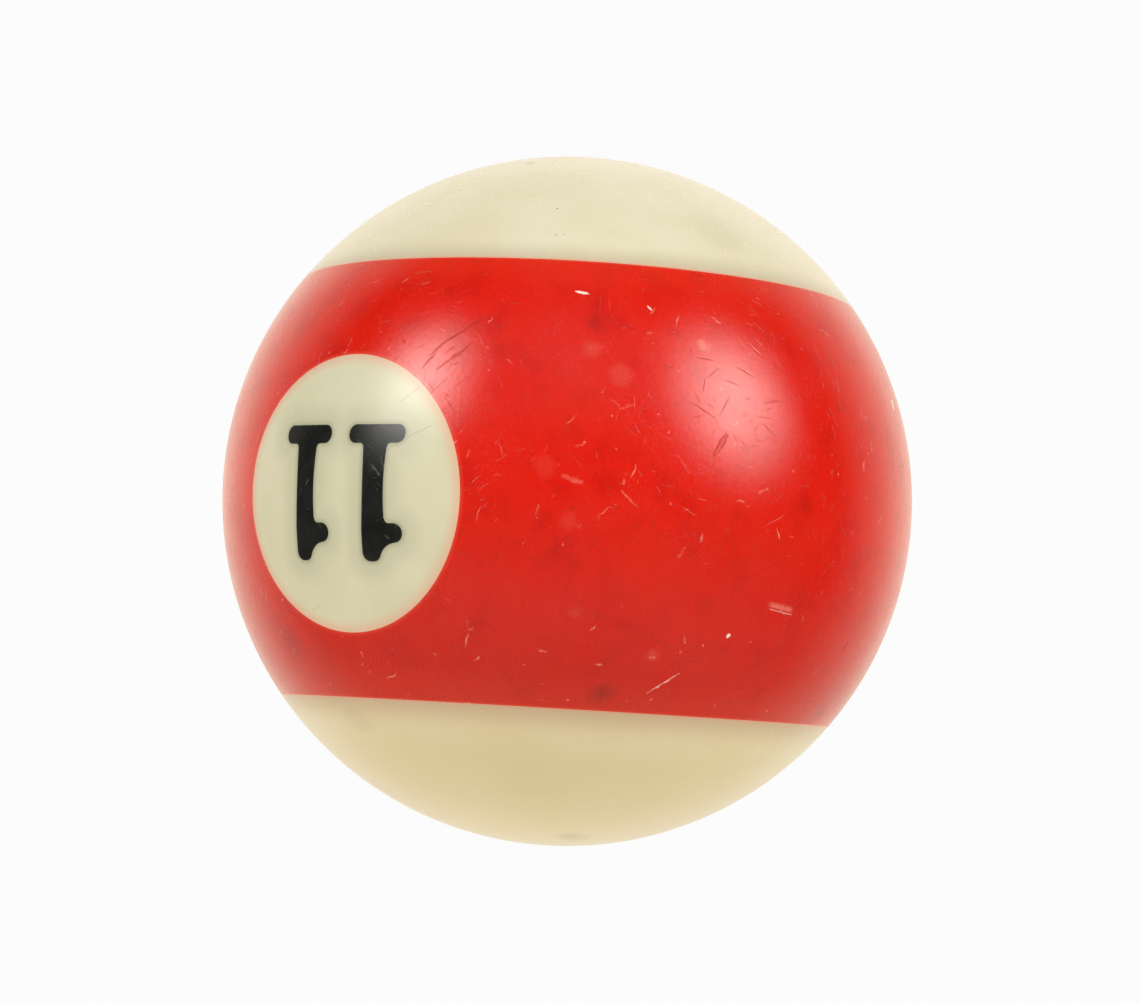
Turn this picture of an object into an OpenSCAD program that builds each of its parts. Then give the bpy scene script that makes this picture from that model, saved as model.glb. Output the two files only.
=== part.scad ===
// Striped pool ball with an inlaid two-figure number, in millimetres.
// The origin is the ball's centre, +Z is the stripe's own axis and the front number disc faces -Y.
// A cream casting is turned with a wide groove, a red band fills the groove, a cream disc is let into
// each side of the band, and black figures are let into each disc. Every outer face is part of one sphere.

/* [Ball] */
// Diameter over the finished sphere
ball_d = 57.15; // [56:0.05:60]

/* [Band] */
// Width of the red band, from edge to edge along the stripe's axis
band_w = 34.4; // [30:0.1:35]
// Height of the band's middle plane over the ball's centre
band_rise = -0.25; // [-0.5:0.05:0.5]
// Diameter of the groove floor under the band
groove_d = 41; // [38:0.5:42]

/* [Number discs] */
// Diameter of each number disc
disc_d = 21.5; // [21:0.1:22.5]
// Depth of a disc, from the top of its dome to its flat inner end
disc_depth = 12; // [11.5:0.1:14]
// Angle by which the front disc looks below the middle of the ball, which lifts the back disc by as much
disc_droop = 3.9; // [0:0.1:5]

/* [Figures] */
// Height of a figure
figure_h = 10.5; // [10:0.1:11]
// Width of the foot bar
foot_w = 5.15; // [4.8:0.05:5.6]
// Height of the foot bar
foot_h = 1.45; // [1.4:0.05:1.7]
// Width of the stem where it meets the foot and the tip
stem_w = 2.2; // [2.1:0.05:2.6]
// How far each side of the stem draws in at its waist
waist = 0.13; // [0.05:0.01:0.25]
// Radius of the round end of the flag
flag_r = 0.75; // [0.65:0.05:0.85]
// Distance between the middles of the two figures
figure_pitch = 6.95; // [6.4:0.05:7.4]
// How far the number sits to the left of its disc's middle, as it is read upright
figure_shift = 0.1; // [-0.2:0.05:0.2]
// Depth of a figure, from the top of the dome over the disc's middle
figure_depth = 3; // [2.5:0.1:5]
// Turn of the number in its disc: at 180 its feet point to +Z
figure_turn = 180; // [0:5:360]

/* [Hidden] */

$fn = 128;

cream = "#E7DEB6";
red = "#D92F1A";
black = "#1C1E1E";

ball_r = ball_d / 2;
disc_r = disc_d / 2;
reach = ball_d;              // longer than any cut through the ball needs to be

// Turn about Z that faces each disc outward: the front looks along -Y, the back along +Y.
front = 0;
back = 180;

// Place of a figure in the number, as it is read upright.
left = -1;
right = 1;

// A figure's outline is centred on its own height, with its foot bar at the bottom.
top_y = figure_h / 2;
foot_y = -figure_h / 2;
foot_top_y = foot_y + foot_h;
foot_corner_r = 0.68;
fillet_r = 0.3;              // where the stem grows out of the foot
under_flag_r = 0.3;          // where the underside of the flag meets the stem
tip_r = 0.7;                 // round corners of the tip
tip_flat = 0.3;              // straight stretch between the tip's round corners
flag_drop = 2.2;             // from the top of the figure down to the middle of the flag
sweep_r = 1.6;               // hollow sweep from the tip down to the flag
lap = 0.1;                   // overlap of pieces of outline that are joined
bite = 0.01;                 // overlap of round stretches that run into each other
shallow_fn = 720;            // sides of the large circles whose edges draw the waist

// Half the stem's width, and the centres of the tip's round corners and the flag's round end.
stem_x = stem_w / 2;
tip_right = [stem_x - tip_r, top_y - tip_r];
tip_left = tip_right - [tip_flat, 0];
flag = [flag_r - foot_w / 2, top_y - flag_drop];

// Centre of a circle of radius r that touches, from outside, circles of radius ra about a and rb about b.
function touching(a, ra, b, rb, r) =
    let (
        span = b - a,
        gap = norm(span),
        along = ((r + ra) ^ 2 - (r + rb) ^ 2 + gap ^ 2) / (2 * gap),
        off = sqrt((r + ra) ^ 2 - along ^ 2)
    )
    a + (along * span + off * [span[1], -span[0]]) / gap;

// Radius of the shallow arc that sinks by depth over a chord.
function arc_radius(chord, depth) = (chord ^ 2 / 4 + depth ^ 2) / (2 * depth);

// Rectangle from its low corner to its high one.
module patch(low, high) {
    translate(low)
        square(high - low);
}

// Bar with four round corners, centred on x = 0.
module rounded_bar(w, low_y, high_y, r) {
    patch([-w / 2, low_y + r], [w / 2, high_y - r]);
    patch([-w / 2 + r, low_y], [w / 2 - r, high_y]);
    for (x = [r - w / 2, w / 2 - r])
        for (y = [low_y + r, high_y - r])
            translate([x, y])
                circle(r);
}

// Hollow fillet in a corner at the origin, open to +X and +Y.
module hollow_fillet(r) {
    difference() {
        patch([-lap, -lap], [r, r]);
        translate([r, r])
            circle(r);
    }
}

// Stem from the foot to the flag, with both sides drawn in to a waist.
module stem() {
    length = flag[1] - foot_top_y;
    waist_r = arc_radius(length, waist);
    difference() {
        patch([-stem_x, foot_top_y - lap], [stem_x, flag[1] + lap]);
        for (side = [-1, 1])
            translate([side * (stem_x - waist + waist_r), foot_top_y + length / 2])
                circle(waist_r, $fn = shallow_fn);
    }
}

// Fillets on both sides of the stem's foot.
module foot_fillets() {
    for (side = [0, 1])
        mirror([side, 0])
            translate([stem_x, foot_top_y])
                hollow_fillet(fillet_r);
}

// Top of the stem, with a round corner on each side.
module tip() {
    polygon([
        flag,
        [stem_x, flag[1]],
        [stem_x, tip_right[1]],
        tip_right + [0, tip_r],
        tip_left + [0, tip_r],
        tip_left
    ]);
    for (corner = [tip_left, tip_right])
        translate(corner)
            circle(tip_r);
}

// Flag at the left of the tip, with a round end and a hollow sweep up to the tip.
module flag_arm() {
    hollow = touching(tip_left, tip_r - bite, flag, flag_r - bite, sweep_r);
    translate(flag)
        circle(flag_r);
    patch(flag - [0, flag_r], [0, flag[1] + lap]);
    translate([-stem_x, flag[1] - flag_r])
        rotate(180)
            hollow_fillet(under_flag_r);
    difference() {
        polygon([flag, [0, flag[1]], tip_left, hollow]);
        translate(hollow)
            circle(sweep_r);
    }
}

// Outline of the figure one, upright.
module figure_outline() {
    rounded_bar(foot_w, foot_y, foot_top_y, foot_corner_r);
    foot_fillets();
    stem();
    tip();
    flag_arm();
}

// Moves what is drawn about +Z out to one side's disc: +Z points out of the ball and +Y up.
module at_disc(facing) {
    rotate([90 + disc_droop, 0, 0])
        rotate([0, facing, 0])
            children();
}

// Bar that cuts the outline of one figure down to its pocket floor.
module figure_cut(facing, side) {
    at_disc(facing)
        translate([0, 0, ball_r - figure_depth])
            linear_extrude(reach)
                rotate(figure_turn)
                    translate([side * figure_pitch / 2 - figure_shift, 0])
                        figure_outline();
}

// Round bar that cuts one disc's seat, from the disc's inner end outward.
module disc_cut(facing) {
    at_disc(facing)
        translate([0, 0, ball_r - disc_depth])
            cylinder(h = reach, r = disc_r);
}

// Slab between the band's two edges.
module band_slab() {
    translate([0, 0, band_rise])
        cylinder(h = band_w, r = reach, center = true);
}

// Cream casting: the core and both end caps in one piece, with the groove and two disc seats cut out.
module cream_body() {
    color(cream)
        difference() {
            sphere(r = ball_r);
            difference() {
                band_slab();
                cylinder(h = reach, d = groove_d, center = true);
            }
            disc_cut(front);
            disc_cut(back);
        }
}

// Red band, which fills the groove flush and is holed right through for the discs.
module red_band() {
    color(red)
        difference() {
            intersection() {
                sphere(r = ball_r);
                band_slab();
            }
            cylinder(h = reach, d = groove_d, center = true);
            disc_cut(front);
            disc_cut(back);
        }
}

// Cream disc, domed flush with the ball, with a pocket for each figure.
module number_disc(facing) {
    color(cream)
        difference() {
            intersection() {
                sphere(r = ball_r);
                disc_cut(facing);
            }
            figure_cut(facing, left);
            figure_cut(facing, right);
        }
}

// Black figure that fills its pocket flush.
module numeral(facing, side) {
    color(black)
        intersection() {
            sphere(r = ball_r);
            figure_cut(facing, side);
        }
}

cream_body();
red_band();
number_disc(front);  // number_disc_front
number_disc(back);  // number_disc_back
numeral(front, left);  // numeral_front_left
numeral(front, right);  // numeral_front_right
numeral(back, left);  // numeral_back_left
numeral(back, right);  // numeral_back_right
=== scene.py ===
import math

import bmesh
import bpy
import numpy as np
from mathutils import Matrix, Vector
from mathutils.geometry import delaunay_2d_cdt
from mathutils.kdtree import KDTree


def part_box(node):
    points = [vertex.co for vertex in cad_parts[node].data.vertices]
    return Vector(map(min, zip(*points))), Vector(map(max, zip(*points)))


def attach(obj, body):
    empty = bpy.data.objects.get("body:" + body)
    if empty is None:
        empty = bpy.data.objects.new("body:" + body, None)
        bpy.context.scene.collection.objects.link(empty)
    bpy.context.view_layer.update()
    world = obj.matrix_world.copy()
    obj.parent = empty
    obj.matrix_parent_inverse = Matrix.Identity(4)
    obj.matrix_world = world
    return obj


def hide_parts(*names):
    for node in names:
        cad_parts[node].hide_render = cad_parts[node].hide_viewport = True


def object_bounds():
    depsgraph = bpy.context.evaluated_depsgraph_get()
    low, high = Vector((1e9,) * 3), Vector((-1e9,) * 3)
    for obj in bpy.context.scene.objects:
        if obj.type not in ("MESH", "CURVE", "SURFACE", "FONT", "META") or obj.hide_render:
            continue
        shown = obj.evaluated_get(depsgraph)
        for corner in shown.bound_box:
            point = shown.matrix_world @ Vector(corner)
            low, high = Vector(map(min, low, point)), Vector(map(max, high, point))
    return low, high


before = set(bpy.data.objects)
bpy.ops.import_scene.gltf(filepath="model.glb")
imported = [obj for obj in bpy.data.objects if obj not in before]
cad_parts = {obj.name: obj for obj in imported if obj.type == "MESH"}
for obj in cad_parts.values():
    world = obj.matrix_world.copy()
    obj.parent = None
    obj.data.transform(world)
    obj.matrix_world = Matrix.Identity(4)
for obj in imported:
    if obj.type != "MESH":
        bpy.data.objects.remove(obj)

cadLow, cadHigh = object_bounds()
mm = 0.001               # every size below is in millimetres and is turned to metres when a mesh is made

# sizes of the ball, the groove and the inlays

ball = {
    "radius": (cadHigh.z - cadLow.z) / 2 / mm,
    "faceStep": 0.62,    # distance between points over the open faces
    "innerStep": 2.4,    # the same over faces that nothing can see
    "rimPoints": 480,    # points round each edge of the band
    "rimClear": 0.6,     # share of a step that is kept free of points beside a rim
    "fineClear": 0.5,    # the same beside the fine points of a nick
    "weld": 0.0005,
    "sharpAngle": 40,    # degrees: an edge bent more than this stays crisp
}

band = {
    "low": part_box("red_band")[0].z / mm,
    "high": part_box("red_band")[1].z / mm,
    "grooveRadius": 20.5,
    "seam": -90,         # longitude where the flat pattern of the band is cut open
    "seamRows": 60,      # points along the cut
}

disc = {
    "radius": 10.75,
    "depth": 12.0,
    "droop": 3.9,        # degrees that the front disc looks below the ball's middle
    "rimPoints": 200,
}

figure = {
    "height": 10.5,
    "footWidth": 5.15,
    "footHeight": 1.45,
    "footCorner": 0.68,
    "fillet": 0.3,
    "stemWidth": 2.2,
    "waist": 0.13,       # how far each side of the stem draws in
    "tipRadius": 0.7,
    "tipFlat": 0.3,      # straight stretch between the tip's round corners
    "flagRadius": 0.75,
    "flagDrop": 2.2,     # from the top of the figure to the middle of the flag
    "underFlag": 0.3,
    "sweep": 1.6,        # hollow from the tip down to the flag
    "pitch": 6.95,
    "shift": 0.1,        # the number sits this far left of the disc's middle, read upright
    "depth": 3.0,
    "turn": 180,         # feet towards +Z
    "step": 0.12,
}

frontSide, backSide = 0, 180


def direction(longitude, latitude):
    # unit vector: longitude 0 is -Y, 90 is +X, latitude 90 is +Z
    lon, lat = np.broadcast_arrays(np.radians(longitude), np.radians(latitude))
    return np.stack([np.cos(lat) * np.sin(lon), -np.cos(lat) * np.cos(lon), np.sin(lat)], -1)


def discTurn(side):
    # rotation that takes +Z to the middle of one disc and keeps +Y up
    tilt = Matrix.Rotation(math.radians(90 + disc["droop"]), 3, "X")
    return np.array(tilt @ Matrix.Rotation(math.radians(side), 3, "Y"))


def onDome(flat):
    # height of the sphere over points of a disc's own plane
    return np.sqrt(ball["radius"] ** 2 - (flat ** 2).sum(-1))


def discPoints(side, flat, height):
    # points of a disc's plane, lifted to a height along its axis, in the ball's frame
    lifted = np.column_stack([flat, np.broadcast_to(height, len(flat))])
    return lifted @ discTurn(side).T


def ring(radius, count):
    turn = np.arange(count) / count * 2 * math.pi
    return radius * np.column_stack([np.cos(turn), np.sin(turn)])


# wear: small nicks that are cut into the mesh

# lon and lat = place in degrees, long, wide and deep in mm, turn in degrees from level, taper makes one end
# the wider, chalk = how white the resin broke, or under 0 how much dirt it has taken up
nickKeys = ("lon", "lat", "long", "wide", "deep", "turn", "taper", "chalk")
nicks = [dict(zip(nickKeys, row)) for row in [
    (39, 30, 1.05, 0.24, 0.07, -9, 0.2, 1.0),
    (77, -18.4, 2.6, 0.14, 0.05, -7, 0.3, 0.4),
    (58, -32, 2.9, 0.12, 0.05, 42, 0.1, 0.55),
    (62, 6, 2.7, 0.46, 0.04, 58, 0.7, -0.3),
    (111, 18, 1.1, 0.7, 0.12, 70, 0.3, 0.9),
    (68, -23, 0.42, 0.3, 0.05, 60, 0.4, 0.95),
    (51, 28, 0.5, 0.18, 0.04, -50, 0.2, 0.75),
    (98, -23, 1.4, 0.14, 0.03, 58, 0.0, -0.5),
]]

# hair-thin cuts where the band has been rubbed most: longitude, latitude, length in mm, turn in degrees
hairCut = {"wide": 0.13, "deep": 0.016, "taper": 0.1, "chalk": -0.4}
hairCutPlaces = [
    (60, 20, 1.7, -5), (59, 11.5, 2.4, -28), (64.5, 16.5, 1.6, -15), (67.5, 18.5, 2.0, -25),
    (72, 14, 2.0, 15), (71, 9.5, 1.8, -38), (70, 22.5, 1.5, -45), (63, 12.5, 2.0, 60),
    (59.5, 15.5, 1.3, 80), (16, 19.5, 3.0, 48), (18.5, 21.5, 2.6, 40), (14.5, 17, 2.2, 55),
    (18, 17, 2.6, 42), (20.5, 19, 2.2, 50), (21, 23.5, 2.2, 38),
]

nickStep = 0.05          # mm between points inside a nick
nickMargin = 0.1         # mm of fine points all round each nick
nickEdge = {"wave": 0.22, "along": 9, "across": 5, "skew": 2, "narrowest": 0.2}    # how ragged its outline is
farAway = 1e3            # where a flat pattern puts the points that it can't show

# nicks of the same kind on the sides and back, each drawn from between two limits
strayNicks = {
    "count": 26,
    "seed": 11,
    "lon": (125, 320),
    "height": (-0.95, 0.95),     # share of the ball's radius, so that they spread evenly
    "long": (0.4, 1.8),
    "slim": (0.08, 0.35),        # width as a share of the length
    "deep": (0.4, 1),            # share of the deepest
    "deepest": 0.06,
    "taper": (0, 0.6),
    "chalk": [-0.6, 0.4, 0.8],
}


def addStrayNicks():
    dice = np.random.default_rng(strayNicks["seed"])
    for _ in range(strayNicks["count"]):
        long = dice.uniform(*strayNicks["long"])
        nicks.append({
            "lon": dice.uniform(*strayNicks["lon"]),
            "lat": math.degrees(math.asin(dice.uniform(*strayNicks["height"]))),
            "long": long,
            "wide": long * dice.uniform(*strayNicks["slim"]),
            "deep": dice.uniform(*strayNicks["deep"]) * strayNicks["deepest"],
            "turn": dice.uniform(-90, 90),
            "taper": dice.uniform(*strayNicks["taper"]),
            "chalk": dice.choice(strayNicks["chalk"]),
        })


def addHairCuts():
    for lon, lat, long, turn in hairCutPlaces:
        nicks.append({"lon": lon, "lat": lat, "long": long, "turn": turn, **hairCut})


def nickAxes(nick):
    # middle of the nick on the sphere, and unit vectors along it and across it
    out = direction(nick["lon"], nick["lat"])
    east = direction(nick["lon"] + 90, 0)
    north = np.cross(out, east)
    turn = math.radians(nick["turn"])
    along = math.cos(turn) * east + math.sin(turn) * north
    return out * ball["radius"], along, np.cross(out, along)


def nickPoints():
    # a fine lattice over every nick, so that its walls have points to stand on
    points = []
    for nick in nicks:
        middle, along, across = nickAxes(nick)
        halfLong, halfWide = nick["long"] * 0.55 + nickMargin, nick["wide"] * 0.9 + nickMargin
        a = np.arange(-halfLong, halfLong, nickStep)
        b = np.arange(-halfWide, halfWide, nickStep)
        aa, bb = [grid.ravel() for grid in np.meshgrid(a, b)]
        near = middle + aa[:, None] * along + bb[:, None] * across
        points.append(near / np.linalg.norm(near, axis=1)[:, None] * ball["radius"])
    return np.concatenate(points)


def carve(points):
    # sinks the points inside each nick towards the ball's centre, as a shallow bowl with a ragged edge;
    # also returns how chalky each point is
    sink, chalk = np.zeros(len(points)), np.zeros(len(points))
    for nick in nicks:
        middle, along, across = nickAxes(nick)
        away = points - middle
        a = away @ along / (nick["long"] / 2)
        b = away @ across / (nick["wide"] / 2) / np.clip(1 + nick["taper"] * a, nickEdge["narrowest"], None)
        lengthwise = np.sin(nickEdge["along"] * a + nick["lon"])
        crosswise = np.sin(nickEdge["across"] * b + nickEdge["skew"] * a)
        fill = 1 - (a ** 2 + b ** 2) * (1 + nickEdge["wave"] * lengthwise * crosswise)
        inside = (fill > 0) & (np.linalg.norm(away, axis=1) < nick["long"])
        sink[inside] = np.maximum(sink[inside], nick["deep"] * fill[inside])
        chalk[inside] = nick["chalk"]
    return points * (1 - sink / ball["radius"])[:, None], chalk


# flat patterns, filled with triangles and bent onto the ball

def gapTo(points, others):
    # distance from each point to the nearest of the others
    tree = KDTree(len(others))
    for index, (x, y) in enumerate(others):
        tree.insert((x, y, 0), index)
    tree.balance()
    return np.array([tree.find((x, y, 0))[2] for x, y in points])


def lattice(low, high, step):
    # rows of points, every other row shifted by half a step
    rows = np.arange(low[1], high[1], step * math.sqrt(3) / 2)
    columns = np.arange(low[0], high[0], step)
    shift = (np.arange(len(rows)) % 2) * step / 2
    return np.column_stack([(columns[None] + shift[:, None]).ravel(), np.repeat(rows, len(columns))])


def fillSheet(loops, step, fine=None):
    # triangles inside the first loop and outside the rest; the loops' own points stay as they are
    rims = np.concatenate(loops)
    inner = lattice(loops[0].min(0), loops[0].max(0), step)
    inner = inner[gapTo(inner, rims) > ball["rimClear"] * step]
    if fine is not None and len(fine):
        inner = inner[gapTo(inner, fine) > ball["fineClear"] * step]
        inner = np.concatenate([inner, fine[gapTo(fine, rims) > nickStep]])
    ends = np.cumsum([len(loop) for loop in loops])
    outlines = [list(range(end - len(loop), end)) for loop, end in zip(loops, ends)]
    points = [Vector(point) for point in np.concatenate([rims, inner])]
    flat, _, faces, _, _, owners = delaunay_2d_cdt(points, [], outlines, 0, 1e-6)
    kept = [face for face, inside in zip(faces, owners) if list(inside) == [0]]
    return np.array([tuple(point) for point in flat]), kept


def wall(upper, lower):
    # a strip of quads between two closed loops with the same number of points
    count = len(upper)
    after = (np.arange(count) + 1) % count
    here = np.arange(count)
    faces = np.column_stack([here, after, after + count, here + count]).tolist()
    return np.concatenate([upper, lower]), faces


def fineInside(toFlat, low, high):
    # the nicks' lattice points that fall on one sheet, in its flat pattern
    flat = toFlat(nickPoints())
    keep = ((flat > low) & (flat < high)).all(1)
    return flat[keep]


def longitudeOf(points):
    # degrees, counted on from the band's seam
    lon = np.degrees(np.arctan2(points[:, 0], -points[:, 1]))
    return (lon - band["seam"]) % 360 + band["seam"]


def buildPiece(name, node, sheets, walls, fields):
    # one closed solid: sheets are (points, faces), joined to the walls along their shared edges
    mesh = bpy.data.meshes.new(name)
    form = bmesh.new()
    for points, faces in sheets + [(carve(points)[0], faces) for points, faces in walls]:
        corners = [form.verts.new(Vector(point) * mm) for point in points]
        for face in faces:
            form.faces.new([corners[index] for index in face])
    bmesh.ops.remove_doubles(form, verts=form.verts, dist=ball["weld"] * mm)
    bmesh.ops.dissolve_degenerate(form, edges=form.edges, dist=ball["weld"] * mm)
    loose = [vert for vert in form.verts if not vert.link_faces]
    bmesh.ops.delete(form, geom=loose, context="VERTS")
    bmesh.ops.recalc_face_normals(form, faces=form.faces)
    crisp = math.radians(ball["sharpAngle"])
    openEdges = 0
    for edge in form.edges:
        edge.smooth = edge.is_manifold and edge.calc_face_angle(0) < crisp
        openEdges += not edge.is_manifold
    for face in form.faces:
        face.smooth = True
    form.to_mesh(mesh)
    form.free()
    piece = bpy.data.objects.new(name, mesh)
    bpy.context.scene.collection.objects.link(piece)
    where = np.zeros(len(mesh.vertices) * 3, np.float32)
    mesh.vertices.foreach_get("co", where)
    where = where.reshape(-1, 3).astype(float) / mm
    for field, measure in fields.items():
        attribute = mesh.attributes.new(field, "FLOAT", "POINT")
        attribute.data.foreach_set("value", measure(where).astype(np.float32))
    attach(piece, "root")
    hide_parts(node)
    print(f"{name}: {len(mesh.polygons)} faces, {openEdges} open edges")
    return piece


# distances that the materials read, in mm along the surface

def outward(points):
    return points / np.linalg.norm(points, axis=1)[:, None]


def bandGap(points):
    # distance to the nearer edge of the band, positive on the cream side
    latitude = np.arcsin(outward(points)[:, 2])
    top = math.asin(band["high"] / ball["radius"])
    bottom = math.asin(band["low"] / ball["radius"])
    return np.maximum(latitude - top, bottom - latitude) * ball["radius"]


def discGap(points):
    # distance to the rim of the nearer disc, negative inside it
    middle = discTurn(frontSide)[:, 2]
    away = np.arccos(np.clip(np.abs(outward(points) @ middle), 0, 1))
    return (away - math.asin(disc["radius"] / ball["radius"])) * ball["radius"]


def figureGap(side):
    # distance to the outline of the nearest figure of one disc, inside it as well as outside
    def measure(points):
        local = points @ discTurn(side)
        outlines = np.concatenate([figureOutline(place) for place in (-1, 1)])
        return gapTo(local[:, :2], outlines)
    return measure


def chalkOf(points):
    # how white the resin broke at each point of the finished mesh
    return carve(outward(points) * ball["radius"])[1]


# the figure one, drawn upright about its own middle

def arc(centre, radius, start, end):
    steps = max(2, math.ceil(abs(math.radians(end - start)) * radius / figure["step"]))
    turn = np.radians(np.linspace(start, end, steps + 1))
    return np.array(centre) + radius * np.column_stack([np.cos(turn), np.sin(turn)])


def touching(a, ra, b, rb, r):
    # centre of a circle of radius r that touches two circles from outside, to the left of the way a to b
    span = b - a
    gap = np.linalg.norm(span)
    along = ((r + ra) ** 2 - (r + rb) ** 2 + gap ** 2) / (2 * gap)
    off = math.sqrt((r + ra) ** 2 - along ** 2)
    return a + (along * span + off * np.array([span[1], -span[0]])) / gap


def bearing(start, end):
    return math.degrees(math.atan2(end[1] - start[1], end[0] - start[0]))


def evenSteps(points, step):
    # the same closed line, with points a step apart
    closed = np.concatenate([points, points[:1]])
    lengths = np.linalg.norm(np.diff(closed, axis=0), axis=1)
    travel = np.concatenate([[0], np.cumsum(lengths)])
    stops = np.arange(round(travel[-1] / step)) * travel[-1] / round(travel[-1] / step)
    return np.column_stack([np.interp(stops, travel, closed[:, axis]) for axis in (0, 1)])


def uprightFigure():
    top, foot = figure["height"] / 2, -figure["height"] / 2
    footTop = foot + figure["footHeight"]
    stem, corner, fillet = figure["stemWidth"] / 2, figure["footCorner"], figure["fillet"]
    side = figure["footWidth"] / 2 - corner
    tipRight = np.array([stem - figure["tipRadius"], top - figure["tipRadius"]])
    tipLeft = tipRight - [figure["tipFlat"], 0]
    flag = np.array([figure["flagRadius"] - figure["footWidth"] / 2, top - figure["flagDrop"]])
    hollow = touching(tipLeft, figure["tipRadius"], flag, figure["flagRadius"], figure["sweep"])
    toTip, toFlag = bearing(hollow, tipLeft), bearing(hollow, flag)
    length = flag[1] - footTop
    waistRadius = (length ** 2 / 4 + figure["waist"] ** 2) / (2 * figure["waist"])
    waistX, waistY = stem - figure["waist"] + waistRadius, footTop + length / 2
    bend = math.degrees(math.asin((length / 2 - fillet) / waistRadius))
    under = figure["underFlag"]
    underY = flag[1] - figure["flagRadius"] - under
    rise = math.degrees(math.asin((underY - waistY) / waistRadius))
    line = [
        arc((-side, foot + corner), corner, 180, 270),
        arc((side, foot + corner), corner, 270, 360),
        arc((side, footTop - corner), corner, 0, 90),
        arc((stem + fillet, footTop + fillet), fillet, 270, 180),
        arc((waistX, waistY), waistRadius, 180 + bend, 180 - bend),
        arc(tipRight, figure["tipRadius"], 0, 90),
        arc(tipLeft, figure["tipRadius"], 90, toTip + 180),
        arc(hollow, figure["sweep"], toTip, toFlag),
        arc(flag, figure["flagRadius"], toFlag + 180, 270),
        arc((-stem - under, underY), under, 90, 0),
        arc((-waistX, waistY), waistRadius, rise, -bend),
        arc((-stem - fillet, footTop + fillet), fillet, 0, -90),
        arc((-side, footTop - corner), corner, 90, 180),
    ]
    return evenSteps(np.concatenate(line), figure["step"])


def figureOutline(place):
    # one figure in its disc's plane: place -1 is the left one when the number is read upright
    turn = math.radians(figure["turn"])
    spin = np.array([[math.cos(turn), -math.sin(turn)], [math.sin(turn), math.cos(turn)]])
    return (uprightFigure() + [place * figure["pitch"] / 2 - figure["shift"], 0]) @ spin.T


# the pieces

def bandFlat(points):
    # the band's pattern: along the middle of the ball, and stretched up it so that shapes keep their form
    latitude = np.arcsin(np.clip(outward(points)[:, 2], -1, 1))
    return ball["radius"] * np.column_stack([np.radians(longitudeOf(points)), np.arctanh(np.sin(latitude))])


def bandRound(flat):
    latitude = np.degrees(np.arcsin(np.tanh(flat[:, 1] / ball["radius"])))
    return direction(np.degrees(flat[:, 0] / ball["radius"]), latitude) * ball["radius"]


def patternFrame(low, high, bottom, top, rows):
    # closed outline of an unrolled sheet, with the same points at both ends so that they weld
    across = np.linspace(low, high, ball["rimPoints"] + 1)
    up = np.linspace(bottom, top, rows)[1:-1]
    return np.concatenate([
        np.column_stack([across, np.full(len(across), bottom)]),
        np.column_stack([np.full(len(up), high), up]),
        np.column_stack([across[::-1], np.full(len(across), top)]),
        np.column_stack([np.full(len(up), low), up[::-1]]),
    ])


def rimAt(height, radius):
    # closed loop round the Z axis whose points match both ends of the band's pattern
    lon = band["seam"] + np.arange(ball["rimPoints"]) / ball["rimPoints"] * 360
    return np.column_stack([direction(lon, 0)[:, :2] * radius, np.full(len(lon), height)])


def rimRadius(height):
    return math.sqrt(ball["radius"] ** 2 - height ** 2)


def holeInGroove(side):
    # where a disc's side meets the round floor of the groove
    flat = ring(disc["radius"], disc["rimPoints"])
    start, axis = discPoints(side, flat, 0), discTurn(side)[:, 2]
    a = (axis[:2] ** 2).sum()
    b = start[:, :2] @ axis[:2]
    c = (start[:, :2] ** 2).sum(1) - band["grooveRadius"] ** 2
    reach = (-b + np.sqrt(b ** 2 - a * c)) / a
    return start + reach[:, None] * axis


def holeOnBall(side):
    flat = ring(disc["radius"], disc["rimPoints"])
    return discPoints(side, flat, onDome(flat))


def grooveSheet():
    # the round floor of the groove, with a hole for each disc
    low, high = np.radians(band["seam"]), np.radians(band["seam"] + 360)
    reach = band["grooveRadius"]
    rows = round((band["high"] - band["low"]) / ball["innerStep"])
    loops = [patternFrame(low * reach, high * reach, band["low"], band["high"], rows)]
    for side in (frontSide, backSide):
        hole = holeInGroove(side)
        loops.append(np.column_stack([np.radians(longitudeOf(hole)) * reach, hole[:, 2]]))
    flat, faces = fillSheet(loops, ball["innerStep"])
    lon = np.degrees(flat[:, 0] / reach)
    return np.column_stack([direction(lon, 0)[:, :2] * reach, flat[:, 1]]), faces


def grooveSides():
    # the flat faces where the band and the two caps meet
    return [wall(rimAt(band[key], rimRadius(band[key])), rimAt(band[key], band["grooveRadius"]))
            for key in ("low", "high")]


def makeBand():
    edges = bandFlat(np.array([[0, -rimRadius(band[key]), band[key]] for key in ("low", "high")]))[:, 1]
    ends = ball["radius"] * np.radians([band["seam"], band["seam"] + 360])
    loops = [patternFrame(ends[0], ends[1], edges[0], edges[1], band["seamRows"])]
    loops += [bandFlat(holeOnBall(side)) for side in (frontSide, backSide)]
    fine = fineInside(bandFlat, (ends[0] + nickMargin, edges[0]), (ends[1] - nickMargin, edges[1]))
    flat, faces = fillSheet(loops, ball["faceStep"], fine)
    sheets = [(carve(bandRound(flat))[0], faces), grooveSheet()]
    walls = [wall(holeOnBall(side), holeInGroove(side)) for side in (frontSide, backSide)] + grooveSides()
    fields = {"bandGap": bandGap, "discGap": discGap, "chalk": chalkOf}
    return buildPiece("redBand", "red_band", sheets, walls, fields)


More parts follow.
